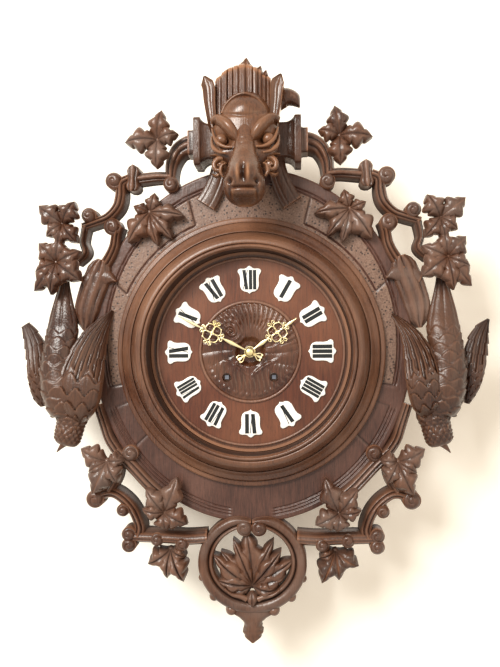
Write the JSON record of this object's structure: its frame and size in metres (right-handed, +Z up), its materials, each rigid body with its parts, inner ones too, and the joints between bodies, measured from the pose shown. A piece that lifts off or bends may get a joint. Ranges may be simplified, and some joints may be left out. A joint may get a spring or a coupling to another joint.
{
  "type": "carved wall clock",
  "caption": "Carved walnut wall clock with a beast mask crest, hanging game birds, vine leaves and scrolls round an oval board, enamel hours, pierced brass hands and a striking movement behind.",
  "frame": {"origin": "on the back face of the movement box, straight behind the centre of the dial", "axes": "+Z up, +X to the right seen from the front, -Y to the front and +Y into the wall"},
  "size_m": [0.5262, 0.1912, 0.6232],
  "materials": {
    "carved_walnut": "hand-carved walnut, dark stained, waxed",
    "turned_walnut": "turned walnut, polished",
    "red_dial_wood": "reddish stained dial wood, satin",
    "plain_box_wood": "plain planed wood",
    "white_enamel": "white fired enamel with black numerals, glossy",
    "gilt_brass": "pale gilt brass",
    "movement_brass": "aged brass",
    "blued_steel": "polished steel",
    "black_iron": "blackened iron"
  },
  "bodies": {
    "case": {"movement_box": "plain_box_wood", "hanger_plate": "black_iron", "case_board": "carved_walnut", "bezel_ring": "turned_walnut", "dial_board": "red_dial_wood", "hour_cartouche_01": "white_enamel", "hour_cartouche_02": "white_enamel", "hour_cartouche_03": "white_enamel", "hour_cartouche_04": "white_enamel", "hour_cartouche_05": "white_enamel", "hour_cartouche_06": "white_enamel", "hour_cartouche_07": "white_enamel", "hour_cartouche_08": "white_enamel", "hour_cartouche_09": "white_enamel", "hour_cartouche_10": "white_enamel", "hour_cartouche_11": "white_enamel", "hour_cartouche_12": "white_enamel", "bird_left": "carved_walnut", "bird_right": "carved_walnut", "crest_block": "carved_walnut", "beast_head": "carved_walnut", "upper_scroll_left": "carved_walnut", "upper_scroll_right": "carved_walnut", "lower_scroll_left": "carved_walnut", "lower_scroll_right": "carved_walnut", "crest_leaf_left": "carved_walnut", "crest_leaf_right": "carved_walnut", "rim_leaf_left": "carved_walnut", "rim_leaf_right": "carved_walnut", "outer_leaves_left": "carved_walnut", "outer_leaves_right": "carved_walnut", "side_leaf_left": "carved_walnut", "side_leaf_right": "carved_walnut", "lower_leaf_left": "carved_walnut", "lower_leaf_right": "carved_walnut", "pendant": "carved_walnut", "front_plate": "movement_brass", "back_plate": "movement_brass", "gong_block": "black_iron", "gong_coil": "blued_steel"},
    "door": {"side_door": "plain_box_wood"},
    "centre_arbor": {"centre_wheel": "movement_brass", "cannon_pinion": "movement_brass", "minute_hand": "gilt_brass", "hand_nut": "gilt_brass"},
    "going_spring_barrel": {"going_barrel": "movement_brass"},
    "going_winder": {"going_winding_arbor": "blued_steel"},
    "intermediate_arbor": {"intermediate_wheel": "movement_brass"},
    "third_arbor": {"third_wheel": "movement_brass"},
    "escape_arbor": {"escape_wheel": "movement_brass"},
    "minute_work": {"minute_wheel": "movement_brass"},
    "hour_work": {"hour_wheel": "movement_brass", "hour_hand": "gilt_brass"},
    "pendulum_and_anchor": {"pallet_anchor": "blued_steel", "pendulum": "gilt_brass"},
    "strike_spring_barrel": {"strike_barrel": "movement_brass"},
    "strike_winder": {"strike_winding_arbor": "blued_steel"},
    "pin_arbor": {"pin_wheel": "movement_brass"},
    "fly_arbor": {"fly": "movement_brass"},
    "strike_hammer": {"hammer": "blued_steel"}
  },
  "joints": [
    {"name": "door_hinge", "type": "hinge", "parent": "case", "child": "door", "pos_m": [0.0978, -0.016, 0], "axis": [0, 0, 1], "range_deg": [0, 95]},
    {"name": "going_train_run", "type": "hinge", "parent": "case", "child": "centre_arbor", "pos_m": [0, -0.0697, 0], "axis": [0, 1, 0], "continuous": true},
    {"name": "going_barrel_run", "type": "hinge", "parent": "case", "child": "going_spring_barrel", "pos_m": [-0.026, -0.0492, -0.028], "axis": [0, 1, 0], "continuous": true},
    {"name": "going_winding", "type": "hinge", "parent": "case", "child": "going_winder", "pos_m": [-0.026, -0.0697, -0.028], "axis": [0, 1, 0], "range_deg": [0, 2340]},
    {"name": "intermediate_run", "type": "hinge", "parent": "case", "child": "intermediate_arbor", "pos_m": [-0.01987, -0.0697, -0.00176], "axis": [0, 1, 0], "continuous": true},
    {"name": "third_run", "type": "hinge", "parent": "case", "child": "third_arbor", "pos_m": [0, -0.0697, 0.01695], "axis": [0, 1, 0], "continuous": true},
    {"name": "escape_run", "type": "hinge", "parent": "case", "child": "escape_arbor", "pos_m": [0, -0.0697, 0.0312], "axis": [0, 1, 0], "continuous": true},
    {"name": "minute_work_run", "type": "hinge", "parent": "case", "child": "minute_work", "pos_m": [0.0192, -0.0747, 0], "axis": [0, 1, 0], "continuous": true},
    {"name": "hour_work_run", "type": "hinge", "parent": "case", "child": "hour_work", "pos_m": [0, -0.0762, 0], "axis": [0, 1, 0], "continuous": true},
    {"name": "pendulum_swing", "type": "hinge", "parent": "case", "child": "pendulum_and_anchor", "pos_m": [0, -0.0697, 0.04695], "axis": [0, 1, 0], "range_deg": [-4, 4]},
    {"name": "strike_train_run", "type": "hinge", "parent": "case", "child": "pin_arbor", "pos_m": [0.03068, -0.0697, -0.00146], "axis": [0, 1, 0], "continuous": true},
    {"name": "strike_barrel_run", "type": "hinge", "parent": "case", "child": "strike_spring_barrel", "pos_m": [0.026, -0.0492, -0.028], "axis": [0, 1, 0], "continuous": true},
    {"name": "strike_winding", "type": "hinge", "parent": "case", "child": "strike_winder", "pos_m": [0.026, -0.0697, -0.028], "axis": [0, 1, 0], "range_deg": [0, 2340]},
    {"name": "fly_run", "type": "hinge", "parent": "case", "child": "fly_arbor", "pos_m": [0.03242, -0.0697, 0.01842], "axis": [0, 1, 0], "continuous": true},
    {"name": "hammer_lift", "type": "hinge", "parent": "case", "child": "strike_hammer", "pos_m": [0.04624, -0.0697, 0.0141], "axis": [0, -1, 0], "range_deg": [0, 12], "stiffness_Nm_per_rad": 0.05, "springref_deg": -11.46}
  ],
  "couplings": [
    {"joint": "going_barrel_run", "follows": "going_train_run", "ratio": 0.0625},
    {"joint": "intermediate_run", "follows": "going_train_run", "ratio": -0.25},
    {"joint": "third_run", "follows": "going_train_run", "ratio": -4},
    {"joint": "escape_run", "follows": "going_train_run", "ratio": 16},
    {"joint": "minute_work_run", "follows": "going_train_run", "ratio": -0.33333},
    {"joint": "hour_work_run", "follows": "going_train_run", "ratio": 0.083333},
    {"joint": "strike_barrel_run", "follows": "strike_train_run", "ratio": -0.25},
    {"joint": "fly_run", "follows": "strike_train_run", "ratio": -4}
  ]
}
